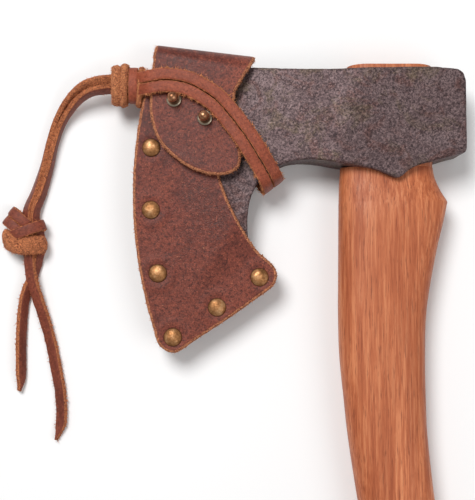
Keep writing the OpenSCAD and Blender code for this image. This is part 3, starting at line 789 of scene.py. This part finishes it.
def edge_fuzz(line, outward, height, rng, per_mm, chosen):
    """Hairs round an outline's cut edge, at the heights of its middle plane. chosen is how many
    of them stay at each point, from 0 to 1."""
    longest, thick = 1.0, 1.1
    total = np.linalg.norm(np.roll(line, -1, 0) - line, axis=1).sum()
    i = rng.integers(0, len(line), int(total * per_mm))
    i = i[chosen[i] > rng.uniform(0, 1, len(i))]
    j = (i + 1) % len(line)
    f = rng.uniform(0, 1, len(i))[:, None]
    xy = line[i] * (1 - f) + line[j] * f
    base = np.column_stack([xy, height(*xy.T) + rng.uniform(-thick, thick, len(i))])
    way = np.column_stack([outward[i], rng.normal(0, 0.35, len(i))])
    way = way + rng.normal(0, 0.45, (len(i), 3))
    return hairs(base, way, rng.gamma(2.0, longest / 5, len(i)).clip(0.15, longest), rng, 0.12)


def panel_face(side, outside):
    """Heights of a panel's face: side is 1 on the front panel and -1 on the back panel."""
    def heights(x, y):
        inner = MID + side * pocket(x, y)
        return inner + side * LEATHER + side * press(x, y) if outside else inner
    return heights


def sheath_panel(which, side, inner_edge, top_edge, raw, per_mm):
    """The front or back of the sheath. raw is as for slab."""
    outline = np.vstack([edge_arc(SHEATH_R, top_edge[-1][1], ARC_LOW),
                         spline(SHEATH_TIP + inner_edge, 6), top_edge])
    outer, inner = panel_face(side, True), panel_face(side, False)
    seed = 1 if side > 0 else 2
    made, line, inward, free = slab(outline, outer, inner, raw=raw, seed=seed)
    chosen = free if raw else np.where(line[:, 0] < -95, 1.0, 0.5)
    fuzz = edge_fuzz(line, -inward, middle_of(outer, inner), np.random.default_rng(69 + seed),
                     per_mm, chosen)
    piece(f"sheath_{which}_panel", merged([made, fuzz]), SHEATH,
          [f"sheath_{which}"], "sheath")


def off_the_fold(points):
    """1 where the back panel's edge is free, and 0 where it goes on into the fold."""
    return 1 - smooth(1.4, 0.5, segment_distance(points, FOLD_START, FOLD_END))


def sheath_welt():
    """The strip between the panels, along the curved edge and the lower seam."""
    along = np.array([math.cos(SEAM_ANGLE), math.sin(SEAM_ANGLE)])
    across = np.array([-along[1], along[0]])
    outer = [q for q in spline(SHEATH_TIP + FRONT_INNER[:1], 6)
             if (q - SEAM) @ across < SEAM_WIDTH]
    inner_r = EDGE_R + 0.5
    on_line = [SEAM + across * SEAM_WIDTH + along * s for s in np.linspace(60, -30, 400)]
    on_line = [q for q in on_line
               if np.linalg.norm(q - EDGE_CENTRE) < inner_r and q[0] < outer[-1][0]]
    arc = edge_arc(inner_r, on_line[-1][1], FRONT_TOP)
    outline = np.vstack([edge_arc(SHEATH_R, FRONT_TOP, ARC_LOW), outer, [on_line[0]],
                         [on_line[-1]], arc[1:]])
    made = slab(outline, level(MID + WELT / 2), level(MID - WELT / 2), 1.4, wall_cut=0.8,
                ragged=0.22, seed=3.0)[0]
    piece("sheath_welt_strip", made, WELT_SKIN, ["sheath_welt"], "sheath")


sheath_panel("front", 1, FRONT_INNER, [(-112, FRONT_TOP)], None, 2.0)
sheath_panel("back", -1, BACK_INNER, [FOLD_END, FOLD_START], off_the_fold, 1.6)
sheath_welt()


# ---- the flap and its fold

FOLD_LEN = 48.6                            # length of the hinge line, and its angle from X
FOLD_ANGLE = math.radians(-12.35)
FOLD_R1 = WELT / 2 + 1.5 * LEATHER + GAP / 2         # the fold's outer radius at its left end
FOLD_R2 = FOLD_R1 + 4.6                              # and at its right end
FOLD_Z = MID + (LEATHER + GAP) / 2
TILT = math.atan((FOLD_R2 - FOLD_R1) / FOLD_LEN)
FOLD_SPAN = 24.0                           # length of leather that goes into the fold
# The flap's outline in the frame, and the studs' places along and across the hinge line.
FLAP_LEFT = [(-113.6, 22), (-114.7, 8), (-114.6, -1), (-111.6, -11.6), (-106.4, -18.6),
             (-98.6, -25), (-90, -29), (-82.6, -30.2), (-77, -29.3), (-73, -26.6), (-71.9, -22),
             (-72.4, -16)]
FLAP_RIGHT = [(-74.2, -2), (-74.6, 7.3), (-73.2, 11.6), (-70.2, 16.4)]
STUDS = [(14.9, -19), (31.2, -24.7)]
COS, SIN = math.cos(FOLD_ANGLE), math.sin(FOLD_ANGLE)


def to_fold(points):
    """Frame X, Y to places along and across the hinge line."""
    q = np.asarray(points, float) - FOLD_START
    return np.stack([q[:, 0] * COS + q[:, 1] * SIN, -q[:, 0] * SIN + q[:, 1] * COS], 1)


def from_fold(p):
    """Places along, across and above the hinge line to the frame."""
    x = FOLD_START[0] + p[:, 0] * COS - p[:, 1] * SIN
    y = FOLD_START[1] + p[:, 0] * SIN + p[:, 1] * COS
    return np.column_stack([x, y, FOLD_Z + p[:, 2]])


def wrap_flap(v):
    """Flat leather (along, length, height above its inner face) to the flap and the fold."""
    a, s, h = v[:, 0], v[:, 1], v[:, 2]
    r = FOLD_R1 + (FOLD_R2 - FOLD_R1) * a / FOLD_LEN
    q = np.clip(s / FOLD_SPAN, 0, 1)
    turn = math.pi * (0.5 - q)
    edge = from_fold(np.column_stack([np.clip(a, 0, FOLD_LEN), a * 0, a * 0]))
    low = MID - pocket(edge[:, 0], edge[:, 1]) - LEATHER / 2 - FOLD_Z
    lift = (low + r - LEATHER / 2) * smooth(0.45, 1.0, q)
    across = np.where(s <= 0, s, (r - LEATHER + h) * np.cos(turn))
    above = np.where(s <= 0, r - LEATHER + h, (r - LEATHER + h) * np.sin(turn) + lift)
    return from_fold(np.column_stack([a, across, above]))


def flap():
    """The flap and its fold are one piece of leather."""
    left = to_fold(spline(FLAP_LEFT, 5))
    right = to_fold(spline(FLAP_RIGHT, 5))
    # How far along the hinge line the fold's right end is, from the flap round to the back.
    right_end = (45.0, 46.4, 47.3, 47.6, 47.4, 46.6, 45.6, 44.6)
    up = [(a, FOLD_SPAN * q / 7) for q, a in enumerate(right_end)]
    down = [(-0.3 + 0.3 * q / 6, FOLD_SPAN * (1 - q / 6)) for q in range(7)]
    outline = np.vstack([left, right, up, down])

    def raw(points):
        return smooth(FOLD_SPAN - 0.2, FOLD_SPAN - 1.2, points[:, 1])

    def swell(x, y):
        q = np.column_stack([x, y, x * 0])
        out = 0.18 * noisy(q, 17, 4.0)
        for sx, sy in STUDS:
            out -= 0.12 * smooth(5.5, 3.6, np.hypot(x - sx, y - sy))
        return out * smooth(2, -6, y)

    def top(x, y):
        return LEATHER + swell(x, y)

    def low(x, y):
        return np.maximum(swell(x, y), 0) * 0.6
    made, line, inward, free = slab(outline, top, low, 1.0, raw=raw, ragged=0.26, seed=4.0)
    rng = np.random.default_rng(72)
    fuzz = edge_fuzz(line, -inward, level(LEATHER / 2), rng, 2.4, free)
    both = merged([made, fuzz])
    both["v"] = wrap_flap(both["v"])
    obj = piece("flap_leather", both, SHEATH, ["flap_fold", "flap"])
    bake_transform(obj)


flap()


# ---- rivets and studs

def lathe(profile, rim):
    """Closed solid of revolution about Z from its axis round and back to its axis. rim is cut at
    each point of the profile."""
    sides = 44
    turns = [2 * math.pi * j / sides for j in range(sides)]
    v, faces, cut, rings = [], [], [], []
    for (r, z), c in zip(profile, rim):
        ring = [(r * math.cos(q), r * math.sin(q), z) for q in turns] if r else [(0, 0, z)]
        rings.append(range(len(v), len(v) + len(ring)))
        v += ring
        cut += [c] * len(ring)
    for a, b in zip(rings, rings[1:]):
        for j in range(sides):
            k = (j + 1) % sides
            face = a[j % len(a)], a[k % len(a)], b[k % len(b)], b[j % len(b)]
            face = tuple(dict.fromkeys(face))
            if len(face) > 2:
                faces.append(face)
    return shell(v, faces, cut)


def cap_profile(r, h):
    """Domed cap with a rolled rim, from its top down to its underside."""
    out, rim = [(0, h)], [0.0]
    for u in (0.08, 0.18, 0.3, 0.42, 0.54, 0.66, 0.77, 0.86, 0.92):
        out.append((r * u, 0.42 + (h - 0.42) * (1 - u ** 2.6)))
        rim.append(0.0 if u < 0.9 else 0.3)
    # rim paints shade down the rolled rim and on the underside.
    out += [(r * 0.955, 0.5), (r * 0.99, 0.4), (r, 0.26), (r * 0.985, 0.12), (r * 0.95, 0.0)]
    rim += [0.7, 0.9, 1.0, 1.0, 1.0]
    return out, rim


def rivets():
    """Six pairs of caps. The front cap has a tube that goes over the back cap's post."""
    cap_r, cap_h, tube_r, post_r, cavity = 4.35, 2.0, 1.7, 1.2, -1.5
    outer, rim = cap_profile(cap_r, cap_h)
    bore = 0.4 - STACK
    tube = [(tube_r, 0.0), (tube_r, bore + 0.1), (1.62, bore), (1.22, bore), (post_r, bore + 0.1),
            (post_r, cavity), (0, cavity)]
    end = 2 * STACK - 1.6
    post = [(post_r, 0.0), (post_r, 2 * STACK - 1.7), (1.1, end), (0, end)]
    for k, (x, y) in enumerate(RIVETS):
        front = lathe(outer + tube, rim + [1.0] * len(tube))
        back = lathe([(r, -z) for r, z in outer] + post, rim + [1.0] * len(post))
        for made, base, name in ((front, MID + STACK, "front"), (back, MID - STACK, "back")):
            v = made["v"]
            high = np.abs(v[:, 2])
            v[:, 2] += noisy(v, 2.6, 20 + k) * 0.13 * smooth(0.45, 0.9, high) * (high < 2.2)
            made["v"] = v + [x, y, base]
            made["run"] = made["v"].copy()
            piece(f"rivet_{name}_cap_{k + 1}", made, BRASS,
                  [f"rivet_{name}_{k + 1}"], "sheath", 50)


rivets()


def flap_place(v):
    """Places along, across and above the tilted hinge line to the frame."""
    x = v[:, 0] * math.cos(TILT) - v[:, 2] * math.sin(TILT)
    z = v[:, 0] * math.sin(TILT) + v[:, 2] * math.cos(TILT)
    return from_fold(np.column_stack([x, v[:, 1], z]))


def studs():
    """Ball studs on plated flanges, each with a hole for its screw."""
    ball_r, ball_z = 2.5, 6.4
    top = FOLD_R1 * math.cos(TILT)
    profile, rim = [(0, ball_z + ball_r)], [0.0]
    for q in np.radians([20, 40, 60, 80, 100, 120, 138]):
        profile.append((ball_r * math.sin(q), ball_z + ball_r * math.cos(q)))
        rim.append(0.0 if q < 1.8 else 0.6)
    profile += [(1.5, 4.3), (1.45, 3.2), (1.5, 2.0), (1.75, 1.45), (2.6, 1.22), (3.2, 1.14),
                (3.55, 0.95), (3.7, 0.6), (3.68, 0.15), (3.55, 0.0), (1.2, 0.0), (1.2, 4.4),
                (0, 4.4)]
    # rim paints shade on the ball's lower side, the neck and the underside, under the ball; 2.0
    # marks the plated flange.
    rim += [1.0, 1.0, 1.0, 1.0, 1.2, 2.0, 2.0, 2.0, 1.7, 1.0, 1.0, 1.0, 1.0]
    for k, (x, y) in enumerate(STUDS):
        made = lathe(profile, rim)
        made["v"] = flap_place(made["v"] + [x, y, top])
        made["run"] = made["v"].copy()
        piece(f"stud_body_{k + 1}", made, STUD, [f"stud_{k + 1}"], "flap", 50)


studs()


# These CAD nodes keep their shapes, and take a material.
for node, material in (("stud_screw_1", STUD), ("stud_screw_2", STUD), ("wooden_wedge", WEDGE),
                       ("steel_wedge", STEEL)):
    for place in NODES[node].material_slots:
        place.material = material
    if not NODES[node].material_slots:
        NODES[node].data.materials.append(material)


# ---- the head

def evaluated(obj):
    """The mesh that an object's modifiers make of it."""
    bpy.context.view_layer.update()
    depsgraph = bpy.context.evaluated_depsgraph_get()
    return bpy.data.meshes.new_from_object(obj.evaluated_get(depsgraph))


def remeshed(node, voxel):
    """An even mesh of a CAD node's shape."""
    temp = placed(NODES[node].data.copy(), "work")
    mod = temp.modifiers.new("work", "REMESH")
    mod.mode = "VOXEL"
    mod.voxel_size = voxel * MM
    made = evaluated(temp)
    bpy.data.objects.remove(temp)
    return made


def triples(data, key):
    out = np.zeros(len(data) * 3)
    data.foreach_get(key, out)
    return out.reshape(-1, 3)


def reshape(mesh, v):
    mesh.vertices.foreach_set("co", (v * MM).ravel())
    mesh.update()


def relax(mesh, v, amount, rounds):
    """Moves each vertex towards the middle of its neighbours, by amount between 0 and 1."""
    e = np.zeros(len(mesh.edges) * 2, int)
    mesh.edges.foreach_get("vertices", e)
    e = e.reshape(-1, 2)
    for _ in range(rounds):
        total = np.zeros_like(v)
        count = np.zeros(len(v))
        for a, b in ((0, 1), (1, 0)):
            np.add.at(total, e[:, a], v[e[:, b]])
            np.add.at(count, e[:, a], 1)
        v = v + (total / count[:, None] - v) * amount[:, None]
    return v


def axe_head():
    """Forged head: softened arrises, and an uneven hammered skin with pits."""
    mesh = remeshed("axe_head", 0.55)
    v = triples(mesh.vertices, "co") / MM
    exact = NODES["axe_head"].data
    tree = BVHTree.FromPolygons([q.co / MM for q in exact.vertices],
                                [tuple(f.vertices) for f in exact.polygons])
    r = np.hypot(v[:, 0] - EDGE_CENTRE[0], v[:, 1] - EDGE_CENTRE[1])
    # The even mesh goes back on the exact surface near the cutting edge, and that edge and the
    # eye's walls then stay as they are.
    near = r > 180
    v[near] = [tuple(tree.find_nearest(Vector(q))[0]) for q in v[near]]
    eye = ((np.abs(v[:, 0]) < 21.2) & (np.abs(v[:, 2] - MID) < 10.2)
           & (v[:, 1] < 19) & (v[:, 1] > -23))
    keep = np.where(eye, 0.0, smooth(200, 186, r))
    # The flat bevel on the poll's lower corner: a point of it, and the way it faces.
    start, out = np.array([17.9, -23.6, 28]), np.array([0.276, -0.69, 0.669])
    over = np.maximum((v - start) @ out, 0) * smooth(12, 16, v[:, 0])
    v = v - over[:, None] * out
    before = v
    v = relax(mesh, v, 0.5 * keep, 2)
    # Mask of the rounded arrises, where the steel material paints shade.
    arris = smooth(0.1, 0.35, np.linalg.norm(v - before, axis=1)) * (over < 0.02)
    reshape(mesh, v)
    n = triples(mesh.vertex_normals, "vector")
    lumps = 0.12 * noisy(v, 11, 1.0) + 0.06 * noisy(v, 4.5, 2.0)
    pits = np.clip(noisy(v, 1.9, 3.0) - 0.28, 0, 1) * 0.3
    v = v + n * ((lumps - pits + 0.08) * keep)[:, None]
    v[:, 2] = np.maximum(v[:, 2], 0.02)
    mesh.polygons.foreach_set("use_smooth", [True] * len(mesh.polygons))
    reshape(mesh, v)
    mesh.attributes.new("cut", "FLOAT", "POINT").data.foreach_set("value", arris)
    mesh.materials.clear()
    mesh.materials.append(STEEL)
    obj = placed(mesh, "forged_head")
    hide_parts("axe_head")
    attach(obj, "axe")


axe_head()


# ---- the handle

# The handle below the eye: Y, left and right edge, and half the thickness.
STATIONS = [(-26, -23.8, 20.6, 9.3), (-31, -24.2, 21.6, 9.4), (-37, -24.5, 24.3, 10.4),
            (-41.2, -24.6, 26.9, 11.1), (-42.6, -24.6, 27.5, 11.3), (-44, -24.7, 27.2, 11.5),
            (-47.5, -24.7, 26.5, 11.8), (-54, -24.8, 25, 12), (-65, -24.9, 22.3, 12),
            (-82, -25.1, 18.9, 12), (-97, -25.2, 16.8, 12), (-116, -24.7, 16.1, 12),
            (-137, -22.7, 16.3, 12), (-155, -20.8, 17, 12), (-185, -16.3, 20.2, 12),
            (-210, -11.5, 24.1, 12), (-240, -4.6, 30, 12), (-265, 0, 35.5, 12),
            (-285, 2.4, 42, 12.6), (-301, 1.6, 47.4, 13.7), (-311, 3, 50, 14),
            (-317.4, 7, 49, 12.6), (-320, 13, 44, 9)]


def handle():
    """Shaped handle whose top is a tongue that fills the eye, slotted for its wedges."""
    sides = 80
    q = 2 * math.pi * np.arange(sides) / sides
    c, d = np.cos(q), np.sin(q)

    def oval(left, right, half, y):
        x = (left + right) / 2 + (right - left) / 2 * np.sign(c) * np.abs(c) ** 0.8
        z = MID + half * np.sign(d) * np.abs(d) ** 0.8
        return np.column_stack([x, np.full(sides, y), z])

    def tongue(y, inset=0.0):
        """The eye's outline: straight sides w from the middle, and round ends beyond flat."""
        w, flat = 9.5, 11.0
        side, b = w / np.maximum(np.abs(d), 1e-9), flat * np.abs(c)
        end = b + np.sqrt(np.maximum(b * b - flat * flat + w * w, 0))
        t = np.where(side * np.abs(c) > flat, end, side) - inset
        return np.column_stack([t * c, np.full(sides, y), MID + t * d])
    fine = spline(STATIONS, 7)[::-1]
    end, left, right, half = fine[0]
    rings = [oval(left + 3, right - 3, half - 3, end - 0.5),
             oval(left + 1, right - 1, half - 1, end - 0.35)]
    rings += [oval(left, right, half, y) for y, left, right, half in fine]
    rings += [tongue(y) for y in [-25.9, *np.linspace(-24, 22.4, 10)]]
    rings += [tongue(22.8, 0.15), tongue(23, 0.5)]
    v = np.vstack(rings)
    faces = [tuple(range(sides)), tuple(range(len(v) - sides, len(v)))] + strips(len(rings), sides)
    obj = piece("shaped_handle", shell(v, faces), WOOD, ["handle"], "axe", 30)
    for wedge in ("wooden_wedge", "steel_wedge"):
        mod = obj.modifiers.new(wedge, "BOOLEAN")
        mod.operation = "DIFFERENCE"
        mod.solver = "EXACT"
        mod.object = NODES[wedge]
    slotted = evaluated(obj)
    obj.modifiers.clear()
    obj.data = slotted


handle()


# ---- floor and lights

def floor():
    mesh = bpy.data.meshes.new("floor")
    bm = bmesh.new()
    bmesh.ops.create_grid(bm, x_segments=2, y_segments=2, size=3.0)
    bm.to_mesh(mesh)
    bm.free()
    made = placed(mesh, "floor", (0, 0, -0.0002))
    p = Paint("floor")
    p.colour = p.ramp(p.noise(3, 2, 0.5), (0.4, 0.9), (0.6, 0.92))
    p.bump(p.noise(40, 2, 0.5), 0.02, 0.001)
    mesh.materials.append(p.finish(0.8))


def light(name, place, aim, size, power):
    data = bpy.data.lights.new(name, "AREA")
    data.shape = "DISK"
    data.size = size
    data.energy = power
    way = Vector(aim) - Vector(place)
    placed(data, name, place, way.to_track_quat("-Z", "Y").to_euler())


floor()
light("key", (-0.45, 0.5, 1.2), (-0.07, -0.1, 0), 0.6, 15)
light("fill", (0.7, -0.5, 1.1), (-0.05, -0.1, 0), 0.9, 4)
world = bpy.data.worlds.new("studio")
world.use_nodes = True
sky = world.node_tree.nodes["Background"].inputs
sky["Color"].default_value = (1, 1, 1, 1)
sky["Strength"].default_value = 0.34
bpy.context.scene.world = world
bpy.context.scene.view_settings.view_transform = "Standard"
